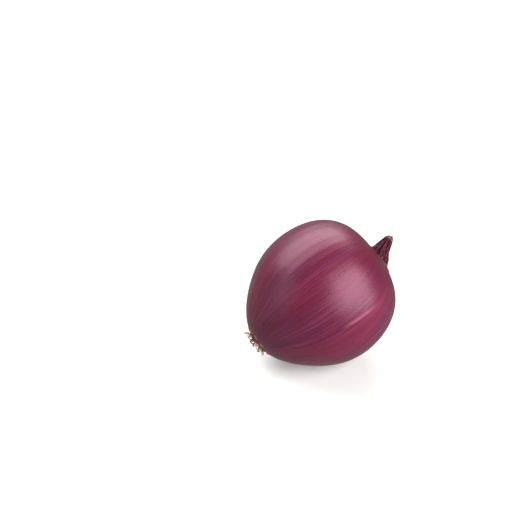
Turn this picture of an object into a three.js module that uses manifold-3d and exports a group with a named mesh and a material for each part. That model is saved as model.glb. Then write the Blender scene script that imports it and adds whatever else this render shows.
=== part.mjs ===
// A red onion lying on its side, as it settles on a table: neck up to one side, root plate down to
// the other, standing on a small flat spot. The bulb, with its neck and root plate, is one solid.
// The dried roots are separate strands that curl up from the root plate.
//
// Millimetres. The origin is the middle of the flat resting spot, +Z is up, and the neck points
// towards +X.

import * as THREE from "three";
import { mergeVertices } from "three/addons/utils/BufferGeometryUtils.js";
import Module from "manifold-3d";

const { degToRad, lerp } = THREE.MathUtils;

// ---- Stance ---------------------------------------------------------------------------------
const AXIS_RISE = degToRad(30.5); // the axis from root to neck climbs this far above level
const CENTRE = new THREE.Vector3(-0.5, 0.2, 36.5); // the bulb's centre, from the resting spot

// ---- Bulb: its skin's distance from the centre, by the angle away from the neck ----------------
const SKIN_WAVES = [38.12, -0.43, 0.74, -1.56, -0.1, -0.49]; // mean radius, then 1 to 5 waves, neck to root
const SHOULDER_ANGLE = degToRad(14); // the round skin ends here, at the foot of the neck
const RIM_ANGLE = degToRad(169); // and here, at the rim of the root plate
const OVAL = { waves: 2, height: 0.011, heading: degToRad(20) }; // out of round, seen along the axis
const TRIANGLE = { waves: 3, height: 0.007, heading: degToRad(75) };
const LOPSIDED = { waves: 1, height: 0.015, heading: degToRad(-38) };

// ---- Neck: the dried, drawn-out top of the skins -----------------------------------------------
const NECK_WAIST = { radius: 2.9, height: 45.4 };
const NECK_TIP_HEIGHT = 48.8;
const NECK_CROWN_RADIUS = 1.9;
const NECK_TAPER_REACH = 1.4; // how far the taper below the waist carries on above it
const FLARE_REACH = 2.6; // how far the shoulder's own slope runs into the flare
const SLOPE_STEP = 0.01; // the angle that the slope is taken across
const FLARE_KNEE = { radius: 4.3, height: 39.6 };
const NECK_SET_OVER = 2.2; // the neck stands off the axis, away from the side it leans to
const SET_OVER_SPREAD = 13; // ring radius that the set-over fades out across
const NECK_LEAN = degToRad(18.7);
const LEAN_HEADING = degToRad(142); // about the axis, from its underside towards +Y
const LEAN_START = 35.4;
const LEAN_LENGTH = 2;

// ---- Root plate ----------------------------------------------------------------------------------
const PLATE_REACH = 41.0;
const PLATE_EDGE = { radius: 6.3, height: 40.6 };
const PLATE_GROOVE = { radius: 6.9, height: 39.6 };

// ---- Dried roots: one in the middle, an inner ring and an outer ring of curls ---------------------
const ROOT_THICKNESS = 0.6;
const ROOT_GAP = 0.3; // between the plate and a strand's foot
const ROOT_RINGS = [
  { count: 1, radius: 0.0, lean: degToRad(8), stem: 1.4, curl: 0.9 },
  { count: 3, radius: 2.9, lean: degToRad(20), stem: 1.3, curl: 1.0 },
  { count: 7, radius: 5.5, lean: degToRad(46), stem: 1.5, curl: 1.15 },
];
const FIRST_ROOT = 0.509; // where each ring starts, as a share of its spacing
const CURL_TURN = degToRad(300);
const CURL_TIGHTENING = 0.25; // share of its radius that a curl loses along its length
const CURL_DRIFT = 0.5; // sideways travel of a curl

// ---- Fineness of the faceted surfaces -------------------------------------------------------------
const SIDES = 48;
const SKIN_RINGS = 28;
const FLARE_RINGS = 7;
const TIP_RINGS = 6;
const ROOT_SIDES = 6;
const ROOT_STEPS = 14;

const SKIN = new THREE.MeshStandardMaterial({ color: 0x6f2340, roughness: 0.42, metalness: 0 });
const DRY_ROOT = new THREE.MeshStandardMaterial({ color: 0xcbb59a, roughness: 0.85, metalness: 0 });

/** Distance from the bulb's centre to its skin, at an angle away from the neck. */
function skinRadius(angle) {
  return SKIN_WAVES.reduce((radius, wave, waves) => radius + wave * Math.cos(waves * angle));
}

/** A point of the bulb's half outline: x is the distance from the axis, y the height along it. */
function skinPoint(angle) {
  const radius = skinRadius(angle);
  return new THREE.Vector2(radius * Math.sin(angle), radius * Math.cos(angle));
}

/** The neck's half outline, from the shoulder through the waist to the rounded tip. */
function neckOutline() {
  const shoulder = skinPoint(SHOULDER_ANGLE);
  const slope = skinPoint(SHOULDER_ANGLE - SLOPE_STEP).sub(shoulder).setLength(FLARE_REACH);
  const waist = new THREE.Vector2(NECK_WAIST.radius, NECK_WAIST.height);
  const knee = new THREE.Vector2(FLARE_KNEE.radius, FLARE_KNEE.height);
  const flare = new THREE.CubicBezierCurve(shoulder, shoulder.clone().add(slope), knee, waist);

  const taper = waist.clone().sub(knee).setLength(NECK_TAPER_REACH);
  const tip = new THREE.Vector2(0, NECK_TIP_HEIGHT);
  const crown = new THREE.Vector2(NECK_CROWN_RADIUS, NECK_TIP_HEIGHT);
  const top = new THREE.CubicBezierCurve(waist, waist.clone().add(taper), crown, tip);
  return [...flare.getPoints(FLARE_RINGS).slice(1), ...top.getPoints(TIP_RINGS).slice(1)];
}

/** The whole half outline, from the middle of the root plate to the tip of the neck. */
function bulbOutline() {
  const points = [
    new THREE.Vector2(0, -PLATE_REACH),
    new THREE.Vector2(PLATE_EDGE.radius / 2, -(PLATE_REACH + PLATE_EDGE.height) / 2),
    new THREE.Vector2(PLATE_EDGE.radius, -PLATE_EDGE.height),
    new THREE.Vector2(PLATE_GROOVE.radius, -PLATE_GROOVE.height),
  ];
  for (let ring = 0; ring <= SKIN_RINGS; ring += 1) {
    points.push(skinPoint(lerp(RIM_ANGLE, SHOULDER_ANGLE, ring / SKIN_RINGS)));
  }
  points.push(...neckOutline());
  points.at(-1).x = 0;
  return points;
}

/** Share by which the skin stands out at a heading about the axis, for one way of being uneven. */
function unevenness({ waves, height, heading }, at) {
  return height * Math.cos(waves * (at - heading));
}

/** Moves one point of the round bulb to where the grown, slightly crooked one has it. */
function growCrooked(point) {
  const radius = Math.hypot(point.x, point.y);
  const heading = Math.atan2(point.y, point.x);
  const girth = (radius / SKIN_WAVES[0]) ** 2;
  const uneven = [OVAL, TRIANGLE, LOPSIDED].reduce((sum, way) => sum + unevenness(way, heading), 0);
  const swell = 1 + girth * uneven;

  const along = new THREE.Vector3(Math.cos(LEAN_HEADING), Math.sin(LEAN_HEADING), 0);
  const across = new THREE.Vector3(-along.y, along.x, 0);
  const reach = radius * swell * Math.cos(heading - LEAN_HEADING);
  const side = radius * swell * Math.sin(heading - LEAN_HEADING);

  const setOver = point.z > 0 ? -NECK_SET_OVER * Math.exp(-((radius / SET_OVER_SPREAD) ** 4)) : 0;
  const bent = Math.min(Math.max(point.z - LEAN_START, 0), LEAN_LENGTH);
  const straight = Math.max(point.z - LEAN_START - LEAN_LENGTH, 0);
  const lean = (NECK_LEAN * bent) / LEAN_LENGTH;
  const bendRadius = LEAN_LENGTH / NECK_LEAN;
  const spineOver = setOver + bendRadius * (1 - Math.cos(lean)) + straight * Math.sin(lean);
  const spineUp = Math.min(point.z, LEAN_START) + bendRadius * Math.sin(lean) + straight * Math.cos(lean);

  point.set(0, 0, spineUp - reach * Math.sin(lean));
  point.addScaledVector(along, spineOver + reach * Math.cos(lean));
  point.addScaledVector(across, side);
}

/** Runs a function over every point of a geometry. */
function reshape(geometry, change) {
  const positions = geometry.getAttribute("position");
  const point = new THREE.Vector3();
  for (let index = 0; index < positions.count; index += 1) {
    point.fromBufferAttribute(positions, index);
    change(point);
    positions.setXYZ(index, point.x, point.y, point.z);
  }
}

/** The turn and place that lay the upright onion down on its side. */
function stance() {
  const placed = new THREE.Object3D();
  placed.rotation.y = Math.PI / 2 - AXIS_RISE;
  placed.position.copy(CENTRE);
  placed.updateMatrix();
  return placed.matrix;
}

/** A solid for cutting, from a closed geometry. */
function toSolid(wasm, geometry) {
  const bare = geometry.clone();
  bare.deleteAttribute("normal");
  bare.deleteAttribute("uv");
  const merged = mergeVertices(bare);
  const vertProperties = new Float32Array(merged.getAttribute("position").array);
  const triVerts = new Uint32Array(merged.index.array);
  return new wasm.Manifold(new wasm.Mesh({ numProp: 3, vertProperties, triVerts }));
}

/** A geometry from a solid. */
function toGeometry(solid) {
  const { vertProperties, triVerts } = solid.getMesh();
  const geometry = new THREE.BufferGeometry();
  geometry.setAttribute("position", new THREE.BufferAttribute(vertProperties, 3));
  geometry.setIndex(new THREE.BufferAttribute(triVerts, 1));
  geometry.computeVertexNormals();
  return geometry;
}

/** The bulb, laid down and cut flat where it stands. */
function makeBulb(wasm, laidDown) {
  const round = new THREE.LatheGeometry(bulbOutline(), SIDES);
  round.rotateX(Math.PI / 2);
  reshape(round, growCrooked);
  round.applyMatrix4(laidDown);

  const floorSize = 4 * PLATE_REACH;
  const floor = new THREE.BoxGeometry(floorSize, floorSize, floorSize);
  floor.translate(0, 0, -floorSize / 2);
  const bulb = new THREE.Mesh(toGeometry(toSolid(wasm, round).subtract(toSolid(wasm, floor))), SKIN);
  bulb.name = "bulb";
  return bulb;
}

/** The middle line of one dried root: a short stem that rolls over into a curl. */
class RootCurl extends THREE.Curve {
  /** The strand's foot is at a distance from the axis and a heading about it. */
  constructor({ radius, lean, stem, curl }, heading) {
    super();
    this.outward = new THREE.Vector3(Math.cos(heading), Math.sin(heading), 0);
    this.away = new THREE.Vector3(0, 0, -Math.cos(lean)).addScaledVector(this.outward, Math.sin(lean));
    this.beside = new THREE.Vector3(-this.outward.y, this.outward.x, 0);
    this.drift = new THREE.Vector3().crossVectors(this.away, this.beside);
    this.foot = this.outward.clone().multiplyScalar(radius);
    this.foot.z = -(PLATE_REACH + ROOT_GAP);
    this.stem = stem;
    this.curl = curl;
    this.length = stem + curl * CURL_TURN;
  }

  /** The point at a share of the strand's length. */
  getPoint(share, target = new THREE.Vector3()) {
    const travelled = share * this.length;
    const turn = Math.max(travelled - this.stem, 0) / this.curl;
    const radius = this.curl * (1 - (CURL_TIGHTENING * turn) / CURL_TURN);
    const rise = Math.min(travelled, this.stem) + radius * Math.sin(turn);
    const over = this.curl - radius * Math.cos(turn);
    target.copy(this.foot).addScaledVector(this.away, rise);
    target.addScaledVector(this.beside, turn > 0 ? over : 0);
    return target.addScaledVector(this.drift, (CURL_DRIFT * turn) / CURL_TURN);
  }
}

/** One dried root, as a strand of even thickness. */
function makeRoot(ring, heading, number) {
  const section = new THREE.Shape();
  section.absarc(0, 0, ROOT_THICKNESS / 2, 0, 2 * Math.PI);
  const strand = new THREE.ExtrudeGeometry(section, {
    steps: ROOT_STEPS,
    curveSegments: ROOT_SIDES / 2,
    extrudePath: new RootCurl(ring, heading),
  });
  const root = new THREE.Mesh(strand, DRY_ROOT);
  root.name = `root_${String(number).padStart(2, "0")}`;
  return root;
}

/** All the dried roots, ring by ring. */
function makeRoots(laidDown) {
  const roots = new THREE.Group();
  for (const ring of ROOT_RINGS) {
    for (let place = 0; place < ring.count; place += 1) {
      const heading = (2 * Math.PI * (place + FIRST_ROOT)) / ring.count;
      roots.add(makeRoot(ring, heading, roots.children.length + 1));
    }
  }
  roots.applyMatrix4(laidDown);
  return roots;
}

/** The whole onion. */
function makeOnion(wasm) {
  const laidDown = stance();
  const onion = new THREE.Group();
  onion.add(makeBulb(wasm, laidDown), makeRoots(laidDown));
  return onion;
}

const wasm = await Module();
wasm.setup();

export default makeOnion(wasm);
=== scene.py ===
"""A red onion lying on its side on a pale floor, in soft studio light.

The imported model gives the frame: the bulb and its dried roots stand where its boxes are. Shapes are
worked out in millimetres and leave for Blender in metres.
"""

import logging
import math
from collections.abc import Mapping, Sequence
from dataclasses import dataclass
from enum import Enum
from typing import Any

import bpy
import numpy as np
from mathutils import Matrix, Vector, noise


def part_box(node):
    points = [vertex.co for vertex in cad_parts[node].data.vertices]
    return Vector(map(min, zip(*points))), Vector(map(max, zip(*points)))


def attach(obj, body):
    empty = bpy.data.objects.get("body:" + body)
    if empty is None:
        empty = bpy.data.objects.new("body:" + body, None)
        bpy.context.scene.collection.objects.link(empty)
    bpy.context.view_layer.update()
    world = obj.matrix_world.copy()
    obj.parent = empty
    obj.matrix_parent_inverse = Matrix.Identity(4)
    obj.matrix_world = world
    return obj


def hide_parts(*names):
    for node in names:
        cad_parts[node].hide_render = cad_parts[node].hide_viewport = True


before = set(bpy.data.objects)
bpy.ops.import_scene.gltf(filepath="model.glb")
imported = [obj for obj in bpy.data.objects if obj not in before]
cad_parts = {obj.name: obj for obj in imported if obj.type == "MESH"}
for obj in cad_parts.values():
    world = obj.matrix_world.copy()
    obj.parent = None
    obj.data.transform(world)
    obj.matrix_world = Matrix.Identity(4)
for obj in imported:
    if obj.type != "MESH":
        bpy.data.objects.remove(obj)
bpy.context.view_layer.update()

MM = 0.001
BAKE_MAP = "OFBake"
PLACE = "skin_place"
TORN = "torn_edge"
NECK = "dried_neck"
LIFTED_AND_HIGHLIGHT = "lifted_skin_and_highlight"
ROOT_SHADE = "painted_shade"
RIM_END = 0.080
SKIN_END = 0.840

log = logging.getLogger("red_onion")
Colour = tuple[float, float, float, float]
Link = Any
Marks = dict[str, np.ndarray]


class Slot(Enum):
    """The record's material slots."""

    SKIN = "skin"
    DRIED_ROOT = "dried_root"


def linear(red: int, green: int, blue: int) -> Colour:
    """Turns a colour as a screen shows it into scene light.

    Args:
        red: Red, 0 to 255.
        green: Green, 0 to 255.
        blue: Blue, 0 to 255.

    Returns:
        The linear colour, with full alpha.
    """
    shares = [channel / 255 for channel in (red, green, blue)]
    light = [s / 12.92 if s <= 0.04045 else ((s + 0.055) / 1.055) ** 2.4 for s in shares]
    return (*light, 1.0)


def smooth_step(low: float | np.ndarray, high: float | np.ndarray,
                value: np.ndarray) -> np.ndarray:
    """Rises smoothly from 0 at low to 1 at high.

    Args:
        low: Where the step starts.
        high: Where the step ends.
        value: The values to map.

    Returns:
        The step at each value.
    """
    share = np.clip((value - low) / (high - low), 0.0, 1.0)
    return share * share * (3.0 - 2.0 * share)


def rough_field(x: np.ndarray, y: np.ndarray, z: np.ndarray) -> np.ndarray:
    """Gives a smooth random value, -1 to 1, at each place.

    Args:
        x: First coordinate, in lumps.
        y: Second coordinate.
        z: Third coordinate.

    Returns:
        The values, shaped as the coordinates are.
    """
    x, y, z = np.broadcast_arrays(x, y, z)
    flat = [noise.noise(place) for place in zip(x.ravel(), y.ravel(), z.ravel())]
    return np.array(flat).reshape(x.shape)


@dataclass(frozen=True)
class Signal:
    """A number that varies over a surface: one output socket, with arithmetic."""

    finish: "FinishTree"
    socket: bpy.types.NodeSocket

    def _math(self, operation: str, first: Any, second: Any) -> "Signal":
        """Adds a Math node.

        Args:
            operation: The node's operation.
            first: Its first value.
            second: Its second value.

        Returns:
            The result.
        """
        made = self.finish.node("ShaderNodeMath", {"operation": operation}, {0: first, 1: second})
        return Signal(self.finish, made.outputs[0])

    def __add__(self, other: "Signal | float") -> "Signal":
        """Adds."""
        return self._math("ADD", self, other)

    def __radd__(self, other: float) -> "Signal":
        """Adds to a number."""
        return self._math("ADD", other, self)

    def __sub__(self, other: "Signal | float") -> "Signal":
        """Subtracts."""
        return self._math("SUBTRACT", self, other)

    def __rsub__(self, other: float) -> "Signal":
        """Subtracts from a number."""
        return self._math("SUBTRACT", other, self)

    def __mul__(self, other: "Signal | float") -> "Signal":
        """Multiplies."""
        return self._math("MULTIPLY", self, other)

    def __rmul__(self, other: float) -> "Signal":
        """Multiplies a number."""
        return self._math("MULTIPLY", other, self)

    def size(self) -> "Signal":
        """Drops the sign."""
        return self._math("ABSOLUTE", self, 0.0)


class FinishTree:
    """The node tree of one finish, round its Principled shader."""

    def __init__(self, name: str, constants: Mapping[str, Any]) -> None:
        """Starts a finish.

        Args:
            name: The material's name.
            constants: What is the same all over, by the shader's socket name.
        """
        self.material = bpy.data.materials.new(name)
        self.material.use_nodes = True
        self.tree = self.material.node_tree
        self.shader = self.tree.nodes["Principled BSDF"]
        for socket, value in constants.items():
            self.shader.inputs[socket].default_value = value

    def node(self, kind: str, settings: Mapping[str, Any],
             sockets: Mapping[Any, Any]) -> bpy.types.Node:
        """Adds a node.

        Args:
            kind: The node's type.
            settings: Its settings, set first.
            sockets: Values or links for its inputs, by name or place.

        Returns:
            The node.
        """
        made = self.tree.nodes.new(kind)
        for name, value in settings.items():
            setattr(made, name, value)
        for place, value in sockets.items():
            value = value.socket if isinstance(value, Signal) else value
            if isinstance(value, bpy.types.NodeSocket):
                self.tree.links.new(value, made.inputs[place])
            else:
                made.inputs[place].default_value = value
        return made

    def attribute(self, name: str) -> bpy.types.Node:
        """Reads a value stored on the mesh's points."""
        return self.node("ShaderNodeAttribute", {"attribute_name": name}, {})

    def stored(self, name: str) -> Signal:
        """Reads a number stored on the mesh's points."""
        return Signal(self, self.attribute(name).outputs["Fac"])

    def stretched(self, place: Link, across: float, along: float) -> Link:
        """Scales a place on the skin, round the bulb and from root to neck.

        Args:
            place: The place, as a link.
            across: Scale round the bulb.
            along: Scale from root to neck.

        Returns:
            The scaled place, as a link.
        """
        sockets = {0: place, 1: (across, across, along)}
        return self.node("ShaderNodeVectorMath", {"operation": "MULTIPLY"}, sockets).outputs[0]

    def grain(self, place: Link, scale: float = 1.0, detail: float = 2.0) -> Signal:
        """Gives a soft random value, about 0 to 1.

        Args:
            place: Where to read it, as a link.
            scale: How fine it is.
            detail: How much finer grain it carries.

        Returns:
            The value.
        """
        sockets = {"Vector": place, "Scale": scale, "Detail": detail, "Roughness": 0.55}
        return Signal(self, self.node("ShaderNodeTexNoise", {}, sockets).outputs["Fac"])

    def step(self, value: Signal, low: float, high: float) -> Signal:
        """Rises smoothly from 0 at low to 1 at high.

        Args:
            value: The value to map.
            low: Where the step starts.
            high: Where the step ends.

        Returns:
            The step.
        """
        sockets = {"Value": value, "From Min": low, "From Max": high}
        made = self.node("ShaderNodeMapRange", {"interpolation_type": "SMOOTHSTEP"}, sockets)
        return Signal(self, made.outputs["Result"])

    def mixed(self, share: Signal, first: Any, second: Any) -> Link:
        """Mixes two colours.

        Args:
            share: How much of the second colour shows, 0 to 1.
            first: The first colour, or a link to one.
            second: The second colour, or a link to one.

        Returns:
            The mixed colour, as a link.
        """
        made = self.node("ShaderNodeMix", {"data_type": "RGBA"}, {0: share, 6: first, 7: second})
        return made.outputs[2]

    def feed(self, socket: str, value: Any) -> None:
        """Links a value to the shader.

        Args:
            socket: The shader's socket.
            value: A number or link that varies over the surface.
        """
        value = value.socket if isinstance(value, Signal) else value
        self.tree.links.new(value, self.shader.inputs[socket])

    def covered(self, share: Signal, constants: Mapping[str, Any]) -> None:
        """Covers part of the surface with a second shader that reads the same patterns.

        Args:
            share: How much of it shows, 0 to 1.
            constants: What is the same all over it, by the shader's socket name.
        """
        cover = self.node("ShaderNodeBsdfPrincipled", {}, constants)
        for socket in ("Base Color", "Roughness", "Normal"):
            self.tree.links.new(self.shader.inputs[socket].links[0].from_socket, cover.inputs[socket])
        shown = {0: share, 1: self.shader.outputs[0], 2: cover.outputs[0]}
        both = self.node("ShaderNodeMixShader", {}, shown)
        self.tree.links.new(both.outputs[0], self.tree.nodes["Material Output"].inputs["Surface"])

    def relief(self, height: Signal, depth: float) -> None:
        """Raises the surface by a pattern.

        Args:
            height: The pattern, 0 to 1.
            depth: How high 1 stands, in metres.
        """
        sockets = {"Height": height, "Distance": depth, "Strength": 1.0}
        self.feed("Normal", self.node("ShaderNodeBump", {}, sockets).outputs["Normal"])


@dataclass(frozen=True)
class OnionSkin:
    """Satin, papery, purple-red skin, with its dried neck and corky root plate."""

    purple: Colour = linear(72, 13, 44)
    wine: Colour = linear(86, 15, 41)
    rose: Colour = linear(138, 58, 90)
    shadow: Colour = linear(62, 7, 28)
    shoulder: Colour = linear(66, 4, 24)
    neck: Colour = linear(26, 1, 11)
    neck_fold: Colour = linear(62, 6, 27)
    # Pale pink painted highlight: specks of glint on the dried neck, thickest near its tip.
    painted_glint: Colour = linear(226, 176, 176)
    # Pale pink for the crease: partly the paler loose outer skin, partly a painted highlight along its
    # edge.
    lifted_and_highlight: Colour = linear(196, 116, 140)
    paper: Colour = linear(200, 146, 132)
    cork: Colour = linear(118, 84, 66)
    cork_dark: Colour = linear(54, 32, 29)
    gloss: Colour = linear(255, 202, 224)
    dark_gloss: Colour = linear(236, 92, 150)
    ior: float = 1.48
    dark_ior: float = 1.44
    coat: float = 0.04
    coat_roughness: float = 0.3
    roughness: float = 0.37
    neck_roughness: float = 0.36
    relief_depth: float = 0.00007

    def make(self) -> bpy.types.Material:
        """Builds the material."""
        constants = {"IOR": self.ior, "Specular Tint": self.gloss,
                     "Coat Weight": self.coat, "Coat Roughness": self.coat_roughness}
        tree = FinishTree("onion_skin", constants)
        place = tree.attribute(PLACE).outputs["Vector"]
        split = tree.node("ShaderNodeSeparateXYZ", {}, {0: place})
        along = Signal(tree, split.outputs["Z"])
        torn = tree.stored(TORN)
        neck = tree.stored(NECK)

        patches = tree.grain(tree.stretched(place, across=2.4, along=2.0))
        streaks = tree.grain(tree.stretched(place, across=12.0, along=1.6), detail=3.0)
        fibres = tree.grain(tree.stretched(place, across=46.0, along=3.0), detail=3.0)
        strands = tree.grain(tree.stretched(place, across=130.0, along=7.0), detail=2.0)
        threads = 1.0 - tree.step((fibres - 0.5).size(), 0.0, 0.035)

        colour = tree.mixed(tree.step(patches, 0.32, 0.68), self.purple, self.wine)
        colour = tree.mixed(tree.step(streaks, 0.50, 0.80) * 0.28, colour, self.rose)
        colour = tree.mixed(tree.step(0.54 - streaks, 0.0, 0.24) * 0.24, colour, self.shadow)
        colour = tree.mixed(tree.step(fibres, 0.50, 0.72) * 0.22, colour, self.rose)
        colour = tree.mixed(threads * 0.14, colour, self.shadow)
        colour = tree.mixed(tree.step(strands, 0.46, 0.70) * 0.14, colour, self.rose)
        shoulder = tree.step(along, 0.60, 0.78)
        colour = tree.mixed(shoulder * 0.88, colour, self.shoulder)
        root_end = 1.0 - tree.step(along + (streaks - 0.5) * 0.12, 0.09, 0.27)
        colour = tree.mixed(root_end * 0.45, colour, self.shadow)

        folds = tree.step(streaks, 0.45, 0.7)
        dry = tree.mixed(folds * 0.6, self.neck, self.neck_fold)
        # Painted highlight: pale specks over the dried neck, most near its tip, stand in for glints of
        # light.
        glint_spots = tree.grain(tree.stretched(place, across=7.0, along=90.0), detail=2.0)
        tip = tree.step(along, 0.935, 0.985)
        dry = tree.mixed(tree.step(glint_spots, 0.52, 0.60) * (0.06 + tip * 0.80), dry, self.painted_glint)
        colour = tree.mixed(neck, colour, dry)
        colour = tree.mixed(torn, colour, self.paper)
        # The crease is painted paler: partly loose outer skin, partly a painted highlight where its
        # edge catches the light.
        colour = tree.mixed(tree.stored(LIFTED_AND_HIGHLIGHT) * 0.26, colour, self.lifted_and_highlight)

        lumps = tree.grain(tree.stretched(place, across=5.0, along=160.0), detail=4.0)
        corky = tree.mixed(tree.step(lumps, 0.38, 0.62), self.cork_dark, self.cork)
        plate = 1.0 - tree.step(along, 0.060, 0.070)
        colour = tree.mixed(plate, colour, corky)
        tree.feed("Base Color", colour)

        sheen = self.roughness + (streaks - 0.5) * 0.22 + (fibres - 0.5) * 0.20
        sheen = sheen * (1.0 - neck) + neck * self.neck_roughness
        tree.feed("Roughness", sheen + shoulder * 0.07 + plate * 0.45 + torn * 0.25)
        wrinkles = tree.grain(tree.stretched(place, across=5.0, along=20.0), detail=3.0)
        weave = streaks * 0.7 + fibres * 1.0 + strands * 0.35 + threads * 0.10
        tree.relief(weave + lumps * plate * 3.0 + wrinkles * neck * 6.0, self.relief_depth)
        bare = 1.0 - torn
        cover = {"IOR": self.dark_ior, "Specular Tint": self.dark_gloss}
        tree.covered((neck * 0.4 + shoulder * 0.6) * bare, cover)
        return tree.material


@dataclass(frozen=True)
class DriedRoot:
    """Dull, dry, off-white root with brown patches."""

    pale: Colour = linear(212, 190, 178)
    tan: Colour = linear(164, 132, 114)
    # Brown for the real patches, and also for the painted shade on the inner roots and the roots'
    # feet.
    brown: Colour = linear(76, 42, 37)
    relief_depth: float = 0.00006

    def make(self) -> bpy.types.Material:
        """Builds the material."""
        tree = FinishTree("dried_root", {"IOR": 1.45, "Coat Weight": 0.0})
        where = tree.node("ShaderNodeTexCoord", {}, {}).outputs["Object"]
        patches = tree.grain(where, scale=900.0)
        wrinkles = tree.grain(where, scale=4200.0, detail=3.0)
        colour = tree.mixed(tree.step(patches, 0.40, 0.60), self.tan, self.pale)
        colour = tree.mixed(tree.step(patches, 0.66, 0.80), colour, self.brown)
        # Painted shade: the stored share darkens the inner roots and each root's foot by the plate.
        colour = tree.mixed(tree.stored(ROOT_SHADE), colour, self.brown)
        tree.feed("Base Color", colour)
        tree.feed("Roughness", 0.5 + wrinkles * 0.3)
        tree.relief(wrinkles, self.relief_depth)
        return tree.material


@dataclass(frozen=True)
class PaleFloor:
    """Plain, matt, near-white floor."""

    white: Colour = (0.70, 0.696, 0.675, 1.0)
    glow: float = 0.26

    def make(self) -> bpy.types.Material:
        """Builds the material."""
        constants = {"Base Color": self.white, "Roughness": 0.9, "Specular IOR Level": 0.1,
                     "Emission Color": self.white, "Emission Strength": self.glow}
        return FinishTree("pale_floor", constants).material


def add_object(mesh: bpy.types.Mesh, name: str, material: bpy.types.Material) -> bpy.types.Object:
    """Puts a mesh in the scene, smooth and dressed.

    Args:
        mesh: The mesh.
        name: The piece's name.
        material: Its finish.

    Returns:
        The object.
    """
    mesh.materials.append(material)
    mesh.shade_smooth()
    made = bpy.data.objects.new(name, mesh)
    bpy.context.scene.collection.objects.link(made)
    return made


@dataclass(frozen=True)
class Unevenness:
    """One way in which the bulb is out of round, seen along its axis."""

    waves: int
    height: float
    heading: float

    def at(self, heading: np.ndarray) -> np.ndarray:
        """Gives the share by which the skin stands out at a heading about the axis."""
        return self.height * np.cos(self.waves * (heading - math.radians(self.heading)))


@dataclass(frozen=True)
class HalfOutline:
    """The bulb's half outline: distance from the axis, height along it, and place from 0 to 1."""

    radius: np.ndarray
    height: np.ndarray
    along: np.ndarray

    def mapped(self) -> np.ndarray:
        """Shares the bake map's height out by the length of the outline, with more for its ends."""
        steps = np.hypot(np.diff(self.radius), np.diff(self.height))
        ends = (self.along[1:] < RIM_END) | (self.along[1:] > SKIN_END)
        steps = steps * (1.0 + 1.5 * ends)
        place = np.concatenate([[0.0], np.cumsum(steps)])
        return place / place[-1]


def bezier(points: Sequence[tuple[float, float]], count: int) -> np.ndarray:
    """Walks a cubic curve.

    Args:
        points: Its four control points.
        count: How many points to give, both ends included.

    Returns:
        The points, one a row.
    """
    share = np.linspace(0.0, 1.0, count)[:, None]
    p0, p1, p2, p3 = (np.array(point) for point in points)
    rest = 1.0 - share
    return rest**3 * p0 + 3 * rest**2 * share * p1 + 3 * rest * share**2 * p2 + share**3 * p3


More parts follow.
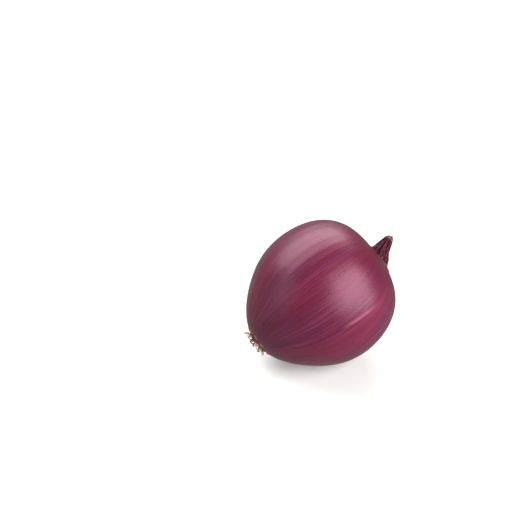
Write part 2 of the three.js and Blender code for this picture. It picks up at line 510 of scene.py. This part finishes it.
@dataclass
class Bulb:
    """The onion itself: round body, drawn-out dried neck and corky root plate. Millimetres."""

    skin_waves: tuple[float, ...] = (38.12, -0.43, 0.74, -1.56, -0.1, -0.49)
    shoulder_angle: float = 14.0
    rim_angle: float = 169.0
    axis_rise: float = 30.5
    plate_reach: float = 41.0
    plate_edge: tuple[float, float] = (6.3, 40.6)
    plate_groove: tuple[float, float] = (6.9, 39.6)
    neck_knee: tuple[float, float] = (4.3, 39.6)
    neck_waist: tuple[float, float] = (2.9, 45.4)
    neck_crown: float = 1.9
    neck_top: float = 48.8
    flare_reach: float = 2.6
    taper_reach: float = 1.4
    set_over: float = 2.2
    set_over_spread: float = 13.0
    neck_lean: float = 18.7
    lean_heading: float = 142.0
    lean_start: float = 35.4
    lean_length: float = 2.0
    ways: tuple[Unevenness, ...] = (
        Unevenness(2, 0.011, 20.0), Unevenness(3, 0.007, 75.0), Unevenness(1, 0.015, -38.0))
    swell: float = 0.30
    rib: float = 0.11
    collar: float = 0.838
    tear_heading: float = -38.0
    fold_count: float = 9.0
    fold_depth: float = 0.22
    plate_dome: float = 0.9
    hem_place: float = 0.079
    hem_width: float = 0.006
    crease_heading: float = -93.0
    crease_width: float = 0.021
    crease_rise: float = 0.12
    resting_softness: float = 0.16
    sides: int = 288
    rings: tuple[int, int, int, int] = (14, 8, 160, 84)

    def skin_point(self, angle: np.ndarray) -> np.ndarray:
        """Gives the skin's distance from the axis and height along it.

        Args:
            angle: Angles away from the neck, in radians.

        Returns:
            Two numbers a row.
        """
        radius = sum(wave * np.cos(count * angle) for count, wave in enumerate(self.skin_waves))
        return np.stack([radius * np.sin(angle), radius * np.cos(angle)], axis=-1)

    def outline(self) -> HalfOutline:
        """Draws the half outline, from the middle of the root plate to the tip of the neck."""
        plate, rim, skin, neck = self.rings
        edge = (self.plate_edge[0], -self.plate_edge[1])
        groove = (self.plate_groove[0], -self.plate_groove[1])
        angles = np.radians(np.linspace(self.rim_angle, self.shoulder_angle, skin))
        body = self.skin_point(angles)
        shoulder = body[-1]
        slope = self.skin_point(np.radians(self.shoulder_angle - 0.5)) - shoulder
        flare_turn = shoulder + slope / np.linalg.norm(slope) * self.flare_reach
        waist = np.array(self.neck_waist)
        taper = waist - np.array(self.neck_knee)
        top_turn = waist + taper / np.linalg.norm(taper) * self.taper_reach
        crown = (self.neck_crown, self.neck_top)

        runs = [
            (np.linspace((0.0, -self.plate_reach), edge, plate), 0.0, 0.055),
            (bezier([edge, groove, groove, tuple(body[0])], rim + 1)[1:], 0.057, RIM_END),
            (body[1:], 0.082, SKIN_END),
            (bezier([shoulder, flare_turn, self.neck_knee, waist], neck // 2 + 1)[1:], 0.842, 0.930),
            (bezier([waist, top_turn, crown, (0.0, self.neck_top)], neck // 2 + 1)[1:], 0.932, 1.0),
        ]
        points = np.concatenate([run for run, _, _ in runs])
        along = np.concatenate([np.linspace(start, end, len(run)) for run, start, end in runs])
        return HalfOutline(points[:, 0], points[:, 1], along)

    def grown(self, radius: np.ndarray, height: np.ndarray, heading: np.ndarray) -> np.ndarray:
        """Moves the round bulb's points to where the slightly crooked one has them.

        Args:
            radius: Distance from the axis.
            height: Height along the axis.
            heading: Heading about the axis, in radians.

        Returns:
            Three coordinates a point, with the axis upright.
        """
        girth = (radius / self.skin_waves[0]) ** 2
        swollen = radius * (1.0 + girth * sum(way.at(heading) for way in self.ways))
        lean_heading = math.radians(self.lean_heading)
        reach = swollen * np.cos(heading - lean_heading)
        side = swollen * np.sin(heading - lean_heading)

        over = -self.set_over * np.exp(-((radius / self.set_over_spread) ** 4)) * (height > 0)
        full_lean = math.radians(self.neck_lean)
        bend_radius = self.lean_length / full_lean
        lean = full_lean * np.clip((height - self.lean_start) / self.lean_length, 0.0, 1.0)
        straight = np.maximum(height - self.lean_start - self.lean_length, 0.0)
        over = over + bend_radius * (1.0 - np.cos(lean)) + straight * np.sin(lean)
        up = np.minimum(height, self.lean_start) + bend_radius * np.sin(lean) + straight * np.cos(lean)

        outward = over + reach * np.cos(lean)
        east, north = math.cos(lean_heading), math.sin(lean_heading)
        x = outward * east - side * north
        y = outward * north + side * east
        return np.stack([x, y, up - reach * np.sin(lean)], axis=-1)

    def laid_down(self, points: np.ndarray) -> np.ndarray:
        """Turns upright points to how the onion lies, round the bulb's centre.

        Args:
            points: Three coordinates a row.

        Returns:
            The turned points.
        """
        turn = math.radians(90.0 - self.axis_rise)
        x = points[..., 0] * math.cos(turn) + points[..., 2] * math.sin(turn)
        z = points[..., 2] * math.cos(turn) - points[..., 0] * math.sin(turn)
        return np.stack([x, points[..., 1], z], axis=-1)

    def centre(self) -> np.ndarray:
        """Finds the bulb's centre: where the plain shape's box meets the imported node's box."""
        low, high = (np.array(corner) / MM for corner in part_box("bulb"))
        outline = self.outline()
        headings_tried = 97
        heading = np.linspace(0.0, 2.0 * math.pi, headings_tried)[None, :]
        plain = self.laid_down(self.grown(outline.radius[:, None], outline.height[:, None], heading))
        flat = plain.reshape(-1, 3)
        across = (low[1] + high[1]) / 2 - (flat[:, 1].min() + flat[:, 1].max()) / 2
        top = high - flat.max(axis=0)
        return np.array([top[0], across, top[2]])

    def weathered(self, outline: HalfOutline,
                  heading: np.ndarray) -> tuple[np.ndarray, np.ndarray, Marks]:
        """Adds folds, undulations, torn edges and cork to the round bulb.

        Args:
            outline: The half outline.
            heading: Headings about the axis, in radians.

        Returns:
            Radius, height, and the marks that the finish reads, ring by ring.
        """
        east, north = np.cos(heading)[None, :], np.sin(heading)[None, :]
        along = outline.along[:, None]
        girth = outline.radius[:, None] / self.skin_waves[0]

        # Broad swells and fine ribs, on the body only.
        swell = self.swell * rough_field(east * 2.1, north * 2.1, along * 2.4)
        ribs = self.rib * rough_field(east * 9.0 + 4.0, north * 9.0, along * 1.8)
        body = smooth_step(0.08, 0.16, along) * (1.0 - smooth_step(0.80, 0.86, along))
        radius = outline.radius[:, None] + (swell + ribs * girth) * body

        # The ragged collar at the foot of the neck, torn back most on one side.
        ragged = 0.006 * rough_field(east * 3.0, north * 3.0, 7.0)
        ragged = ragged + 0.004 * rough_field(east * 14.0, north * 14.0, 2.0)
        facing = np.cos(heading - math.radians(self.tear_heading))
        tear_side = smooth_step(-0.2, 0.9, facing)[None, :]
        collar = self.collar + ragged + 0.010 * tear_side
        neck = smooth_step(collar - 0.001, collar + 0.004, along)
        flaky = 0.30 + 0.70 * smooth_step(-0.25, 0.35, rough_field(east * 4.0, north * 4.0, 11.0))
        below = along - collar + 0.002 + 0.005 * tear_side
        width = 0.0036 + 0.0040 * tear_side
        torn = np.exp(-((below / width) ** 2)) * (0.16 + 0.60 * tear_side) * flaky

        # Deep, wandering folds down the dried neck, and its ragged tip.
        twist = 1.6 * rough_field(east * 0.8, north * 0.8, along * 9.0)
        wave = 0.5 + 0.5 * np.cos(self.fold_count * heading[None, :] + 5.0 * twist + 14.0 * along)
        fine = rough_field(east * 7.0, north * 7.0, along * 30.0)
        fold_depth = self.fold_depth * smooth_step(collar, collar + 0.04, along)
        radius = radius * (1.0 + 0.04 * neck - fold_depth * (wave**2.0) - 0.08 * fine * neck)
        radius = radius - 0.16 * neck * (1.0 - smooth_step(0.90, 0.94, along))
        ragged_tip = rough_field(east * 1.3, north * 1.3, 3.0) * smooth_step(0.955, 0.99, along)
        sunk = 0.22 * neck * smooth_step(0.93, 0.87, along)
        height = outline.height[:, None] - sunk + 0.8 * ragged_tip

        # The lumpy root plate and the frayed hem of skin round it.
        cork = 1.0 - smooth_step(0.050, 0.062, along)
        lumps = rough_field(east * girth * 42.0, north * girth * 42.0, 1.0)
        pits = rough_field(east * girth * 110.0, north * girth * 110.0, 5.0)
        dome = self.plate_dome * (1.0 - (outline.radius[:, None] / self.plate_edge[0]) ** 2)
        height = height - cork * (dome + 0.50 * lumps + 0.25 * pits)
        hem = np.exp(-(((along - self.hem_place) / self.hem_width) ** 2))
        frayed = 0.7 * rough_field(east * 4.0, north * 4.0, 9.0)
        frayed = frayed + 0.5 * rough_field(east * 17.0, north * 17.0, 9.0)
        height = height - hem * (0.25 + 0.35 * frayed)
        torn = np.maximum(torn, hem * smooth_step(-0.35, 0.45, frayed) * 0.6)

        # The crease's mask also paints a paler line on the skin: partly loose outer skin, partly a
        # painted highlight.
        crease = self.crease(along, heading)
        radius = radius + self.crease_rise * crease
        return radius, height, {TORN: torn, NECK: neck, LIFTED_AND_HIGHLIGHT: crease}

    def crease(self, along: np.ndarray, heading: np.ndarray) -> np.ndarray:
        """Raises a short crease where the outer skin stands up along one fibre; the finish also paints
        it paler, partly as paler loose skin and partly as a painted highlight along its edge.

        Args:
            along: Place from root to neck.
            heading: Headings about the axis, in radians.

        Returns:
            Its height at each point, 0 to 1.
        """
        middle = math.radians(self.crease_heading) + 0.55 * (along - 0.50)
        across = (heading[None, :] - middle + math.pi) % (2.0 * math.pi) - math.pi
        span = smooth_step(0.43, 0.50, along) * (1.0 - smooth_step(0.56, 0.62, along))
        return np.exp(-((across / self.crease_width) ** 2)) * span

    def build(self, material: bpy.types.Material) -> bpy.types.Object:
        """Makes the bulb's mesh in its place.

        Args:
            material: Its finish.

        Returns:
            The piece.
        """
        outline = self.outline()
        heading = np.linspace(0.0, 2.0 * math.pi, self.sides, endpoint=False)
        radius, height, marks = self.weathered(outline, heading)
        points = self.laid_down(self.grown(radius, height, heading[None, :])) + self.centre()
        # The underside flattens softly onto the floor and never goes through it.
        underside = points[..., 2]
        points[..., 2] = (underside + np.sqrt(underside**2 + self.resting_softness**2)) / 2.0

        rings = len(outline.along)
        first, last = points[0].mean(axis=0), points[-1].mean(axis=0)
        vertices = np.concatenate([[first], points[1:-1].reshape(-1, 3), [last]]) * MM
        mesh = bpy.data.meshes.new("onion_bulb")
        mesh.from_pydata(vertices.tolist(), [], self.faces(rings))
        self.store(mesh, outline, heading, marks)
        self.map(mesh, outline)
        return add_object(mesh, "onion_bulb", material)

    def faces(self, rings: int) -> list[tuple[int, ...]]:
        """Joins the rings, with a fan at each end.

        Args:
            rings: How many rings there are, both end points included.

        Returns:
            The faces.
        """
        sides = self.sides
        end = (rings - 2) * sides + 1
        faces: list[tuple[int, ...]] = []
        for side in range(sides):
            after = (side + 1) % sides
            faces.append((0, 1 + after, 1 + side))
            for ring in range(rings - 3):
                start = 1 + ring * sides
                above = start + sides
                faces.append((start + side, start + after, above + after, above + side))
            faces.append((end - sides + side, end - sides + after, end))
        return faces

    def store(self, mesh: bpy.types.Mesh, outline: HalfOutline, heading: np.ndarray,
              marks: Marks) -> None:
        """Stores what the finish reads on the mesh's points.

        Args:
            mesh: The mesh.
            outline: The half outline.
            heading: Headings about the axis.
            marks: What to store, by name.
        """
        east, north = np.cos(heading)[None, :], np.sin(heading)[None, :]
        place = np.stack(np.broadcast_arrays(east, north, outline.along[:, None]), axis=-1)
        root_end, neck_end = np.array([[0.0, 0.0, 0.0]]), np.array([[0.0, 0.0, 1.0]])
        packed = np.concatenate([root_end, place[1:-1].reshape(-1, 3), neck_end])
        mesh.attributes.new(PLACE, "FLOAT_VECTOR", "POINT").data.foreach_set("vector", packed.ravel())
        for name, values in marks.items():
            flat = np.concatenate([values[0, :1], values[1:-1].ravel(), values[-1, :1]])
            mesh.attributes.new(name, "FLOAT", "POINT").data.foreach_set("value", flat)

    def map(self, mesh: bpy.types.Mesh, outline: HalfOutline) -> None:
        """Lays the skin out flat for baking, with heading across and the outline's length up.

        Args:
            mesh: The mesh.
            outline: The half outline.
        """
        up = outline.mapped()
        sides = self.sides
        rings = len(up)
        layer = mesh.uv_layers.new(name=BAKE_MAP)
        flat: list[float] = []
        for side in range(sides):
            left, right, middle = side / sides, (side + 1) / sides, (side + 0.5) / sides
            flat += [middle, up[0], right, up[1], left, up[1]]
            for ring in range(1, rings - 2):
                flat += [left, up[ring], right, up[ring], right, up[ring + 1], left, up[ring + 1]]
            flat += [left, up[-2], right, up[-2], middle, up[-1]]
        layer.data.foreach_set("uv", flat)


@dataclass(frozen=True)
class RootRing:
    """One ring of dried roots on the root plate. Millimetres and degrees; the painted shade on its
    roots is 0 to 1.
    """

    count: int
    radius: float
    lean: float
    stem: float
    curl: float
    painted_shade: float


@dataclass
class DriedRoots:
    """The wiry dried roots that curl up from the root plate. Millimetres."""

    bulb: Bulb
    centre: np.ndarray
    rings: tuple[RootRing, ...] = (
        # Each ring's last number is the painted shade on its roots.
        RootRing(1, 0.0, 8.0, 1.4, 0.9, 0.9),
        RootRing(3, 2.9, 20.0, 1.3, 1.0, 0.8),
        RootRing(7, 5.5, 46.0, 1.5, 1.15, 0.0),
    )
    turn: float = 300.0
    tightening: float = 0.25
    drift: float = 0.5
    thickness: float = 0.6
    foot_thickness: float = 1.25
    taper: float = 0.45
    ripple: float = 0.14
    kink: float = 0.30
    rooted: float = 0.5
    foot_depth: float = 0.2
    tip_point: float = 0.5
    foot_point: float = 0.2
    first: float = 0.509
    sides: int = 12
    steps: int = 72

    def path(self, ring: RootRing, heading: float) -> np.ndarray:
        """Walks the middle line of one root.

        Args:
            ring: The ring it stands in.
            heading: Its heading about the axis, in radians.

        Returns:
            Points with the axis upright, from the plate to the tip.
        """
        lean, turn = math.radians(ring.lean), math.radians(self.turn)
        outward = np.array([math.cos(heading), math.sin(heading), 0.0])
        away = outward * math.sin(lean) - np.array([0.0, 0.0, math.cos(lean)])
        beside = np.array([-outward[1], outward[0], 0.0])
        sideways = -np.cross(beside, away)
        foot = outward * ring.radius - np.array([0.0, 0.0, self.bulb.plate_reach - self.foot_depth])
        straight = ring.stem + self.rooted
        travelled = np.linspace(0.0, straight + ring.curl * turn, self.steps)[:, None]
        turned = np.maximum(travelled - straight, 0.0) / ring.curl
        radius = ring.curl * (1.0 - self.tightening * turned / turn)
        rise = np.minimum(travelled, straight) + radius * np.sin(turned)
        over = (ring.curl - radius * np.cos(turned)) * (turned > 0)
        return foot + away * rise + beside * over + sideways * (self.drift * turned / turn)

    def wiry(self, path: np.ndarray, seed: int) -> np.ndarray:
        """Gives a root small kinks, more towards its tip.

        Args:
            path: Its middle line.
            seed: A number of its own.

        Returns:
            The kinked line.
        """
        share = np.linspace(0.0, 1.0, len(path))
        kinks = [rough_field(share * 6.0, seed * 3.7 + axis * 9.1, 0.5) for axis in range(3)]
        return path + np.stack(kinks, axis=-1) * (self.kink * share[:, None])

    def strand(self, path: np.ndarray, thickness: np.ndarray, painted_shade: np.ndarray, name: str,
               material: bpy.types.Material) -> bpy.types.Object:
        """Makes a closed strand along a line.

        Args:
            path: Its middle line, with the axis upright.
            thickness: Its thickness at each point.
            painted_shade: How much painted shade it has at each point, 0 to 1.
            name: The piece's name.
            material: Its finish.

        Returns:
            The piece.
        """
        mesh = bpy.data.meshes.new(name)
        vertices, faces = self.tube(path, thickness)
        placed = (self.bulb.laid_down(np.array(vertices)) + self.centre) * MM
        mesh.from_pydata(placed.tolist(), [], faces)
        shades = np.concatenate([np.repeat(painted_shade, self.sides), painted_shade[[-1, 0]]])
        mesh.attributes.new(ROOT_SHADE, "FLOAT", "POINT").data.foreach_set("value", shades)
        return add_object(mesh, name, material)

    def tube(self, path: np.ndarray,
             thickness: np.ndarray) -> tuple[list[np.ndarray], list[tuple[int, ...]]]:
        """Works out a round tube with pointed ends.

        Args:
            path: Its middle line.
            thickness: Its thickness at each point.

        Returns:
            Its points and its faces.
        """
        ahead = np.gradient(path, axis=0)
        ahead /= np.linalg.norm(ahead, axis=1)[:, None]
        askew = (0.31, 0.87, 0.38)
        side = np.cross(ahead[0], askew)
        vertices: list[np.ndarray] = []
        for point, forward, width in zip(path, ahead, thickness):
            side = side - forward * side.dot(forward)
            side /= np.linalg.norm(side)
            other = np.cross(forward, side)
            for step in range(self.sides):
                angle = 2.0 * math.pi * step / self.sides
                outward = side * math.cos(angle) + other * math.sin(angle)
                vertices.append(point + outward * width / 2.0)
        faces: list[tuple[int, ...]] = []
        for ring in range(len(path) - 1):
            for step in range(self.sides):
                low = ring * self.sides + step
                low_next = ring * self.sides + (step + 1) % self.sides
                faces.append((low, low_next, low_next + self.sides, low + self.sides))
        tip, foot = len(vertices), len(vertices) + 1
        vertices.append(path[-1] + ahead[-1] * thickness[-1] * self.tip_point)
        vertices.append(path[0] - ahead[0] * thickness[0] * self.foot_point)
        last = (len(path) - 1) * self.sides
        for step in range(self.sides):
            after = (step + 1) % self.sides
            faces.append((last + step, last + after, tip))
            faces.append((after, step, foot))
        return vertices, faces

    def build(self, material: bpy.types.Material) -> list[bpy.types.Object]:
        """Makes every root, ring by ring.

        Args:
            material: Their finish.

        Returns:
            The pieces.
        """
        made: list[bpy.types.Object] = []
        for ring in self.rings:
            for place in range(ring.count):
                number = len(made) + 1
                heading = 2.0 * math.pi * (place + self.first) / ring.count
                share = np.linspace(0.0, 1.0, self.steps)
                ripple = 1.0 + self.ripple * rough_field(share * 14.0, number * 2.3, 0.0)
                thickness = self.thickness * (self.foot_thickness - self.taper * share) * ripple
                path = self.wiry(self.path(ring, heading), number)
                # Painted shade: roots of the inner rings, and every root's foot by the plate, are
                # painted darker.
                painted_shade = np.maximum(ring.painted_shade, 0.9 * (1.0 - smooth_step(0.05, 0.28, share)))
                piece = self.strand(path, thickness, painted_shade, f"dried_root_{number:02d}", material)
                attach(piece, "root")
                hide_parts(f"root_{number:02d}")
                made.append(piece)
        return made


@dataclass(frozen=True)
class Softbox:
    """A soft lamp: its direction in the camera's axes, its size in metres and its watts."""

    name: str
    right: float
    up: float
    back: float
    size: tuple[float, float]
    power: float


@dataclass
class Studio:
    """The floor, the lights and the camera. Metres."""

    target: Vector
    heading: float = -25.0
    elevation: float = 30.0
    distance: float = 0.9
    field: float = 0.2657
    sensor: float = 36.0
    onion_right: float = 0.0334
    onion_down: float = 0.0194
    floor_half: float = 0.8
    lamp_distance: float = 0.80
    backdrop: float = 1.0
    fill: float = 0.14
    mirrored: float = 0.40
    softboxes: tuple[Softbox, ...] = (
        Softbox("overhead", -0.29, 0.98, -0.04, (1.48, 0.56), 16.2),
        Softbox("side", 0.70, 0.03, 0.66, (0.78, 0.84), 17.4),
        Softbox("left", -0.86, 0.06, 0.50, (0.50, 0.60), 1.5),
    )

    def axes(self) -> tuple[Vector, Vector, Vector]:
        """Gives the camera's right, up and back directions."""
        a, e = math.radians(self.heading), math.radians(self.elevation)
        back = Vector((math.sin(a) * math.cos(e), -math.cos(a) * math.cos(e), math.sin(e)))
        right = Vector((math.cos(a), math.sin(a), 0.0))
        return right, back.cross(right), back

    def lay_floor(self, material: bpy.types.Material) -> None:
        """Lays a wide, plain floor; the walls stand in for it in reflections.

        Args:
            material: Its finish.
        """
        mesh = bpy.data.meshes.new("floor")
        half = self.floor_half
        corners = [(-half, -half, 0), (half, -half, 0), (half, half, 0), (-half, half, 0)]
        mesh.from_pydata(corners, [], [(0, 1, 2, 3)])
        floor = add_object(mesh, "floor", material)
        floor.visible_glossy = False

    def light_walls(self) -> None:
        """Surrounds the scene with white walls, bright behind the onion and dimmer on it."""
        world = bpy.data.worlds.new("studio")
        world.use_nodes = True
        tree = world.node_tree
        tree.nodes.clear()
        rays = tree.nodes.new("ShaderNodeLightPath")
        walls = [tree.nodes.new("ShaderNodeBackground") for _ in range(3)]
        for wall, strength in zip(walls, (self.fill, self.mirrored, self.backdrop)):
            wall.inputs["Strength"].default_value = strength
            wall.inputs["Color"].default_value = (1.0, 1.0, 1.0, 1.0)
        shown = walls[0].outputs[0]
        for ray, wall in (("Is Glossy Ray", walls[1]), ("Is Camera Ray", walls[2])):
            choice = tree.nodes.new("ShaderNodeMixShader")
            tree.links.new(rays.outputs[ray], choice.inputs[0])
            tree.links.new(shown, choice.inputs[1])
            tree.links.new(wall.outputs[0], choice.inputs[2])
            shown = choice.outputs[0]
        tree.links.new(shown, tree.nodes.new("ShaderNodeOutputWorld").inputs["Surface"])
        bpy.context.scene.world = world

    def hang(self, softbox: Softbox) -> None:
        """Hangs a softbox that faces the onion and stays out of view.

        Args:
            softbox: The softbox.
        """
        lamp = bpy.data.lights.new(softbox.name, "AREA")
        lamp.shape = "RECTANGLE"
        lamp.size, lamp.size_y = softbox.size
        lamp.energy = softbox.power
        right, up, back = self.axes()
        towards = right * softbox.right + up * softbox.up + back * softbox.back
        box = bpy.data.objects.new(softbox.name, lamp)
        box.location = self.target + towards.normalized() * self.lamp_distance
        box.rotation_euler = towards.to_track_quat("Z", "Y").to_euler()
        box.visible_camera = False
        bpy.context.scene.collection.objects.link(box)

    def place_camera(self) -> None:
        """Places the camera so that the onion stands right of and below the middle of the view."""
        right, up, back = self.axes()
        aim = self.target - right * self.onion_right + up * self.onion_down
        data = bpy.data.cameras.new("camera")
        data.sensor_width = self.sensor
        data.lens = self.sensor * self.distance / self.field
        camera = bpy.data.objects.new("camera", data)
        camera.location = self.target + back * self.distance
        camera.rotation_euler = (camera.location - aim).to_track_quat("Z", "Y").to_euler()
        bpy.context.scene.collection.objects.link(camera)
        bpy.context.scene.camera = camera

    def build(self) -> None:
        """Sets the whole studio up."""
        bpy.context.scene.view_settings.view_transform = "Standard"
        self.place_camera()
        self.lay_floor(PaleFloor().make())
        self.light_walls()
        for softbox in self.softboxes:
            self.hang(softbox)


def main() -> None:
    """Builds the onion and its studio."""
    logging.basicConfig(level=logging.INFO, format="%(name)s: %(message)s")
    bulb = Bulb()
    centre = bulb.centre()
    Studio(target=Vector(centre * MM)).build()

    skin = bulb.build(OnionSkin().make())
    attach(skin, "root")
    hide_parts("bulb")
    log.info("%s: %d faces", skin.name, len(skin.data.polygons))

    for root in DriedRoots(bulb, centre).build(DriedRoot().make()):
        log.info("%s: %d faces", root.name, len(root.data.polygons))


if __name__ == "__main__":
    main()
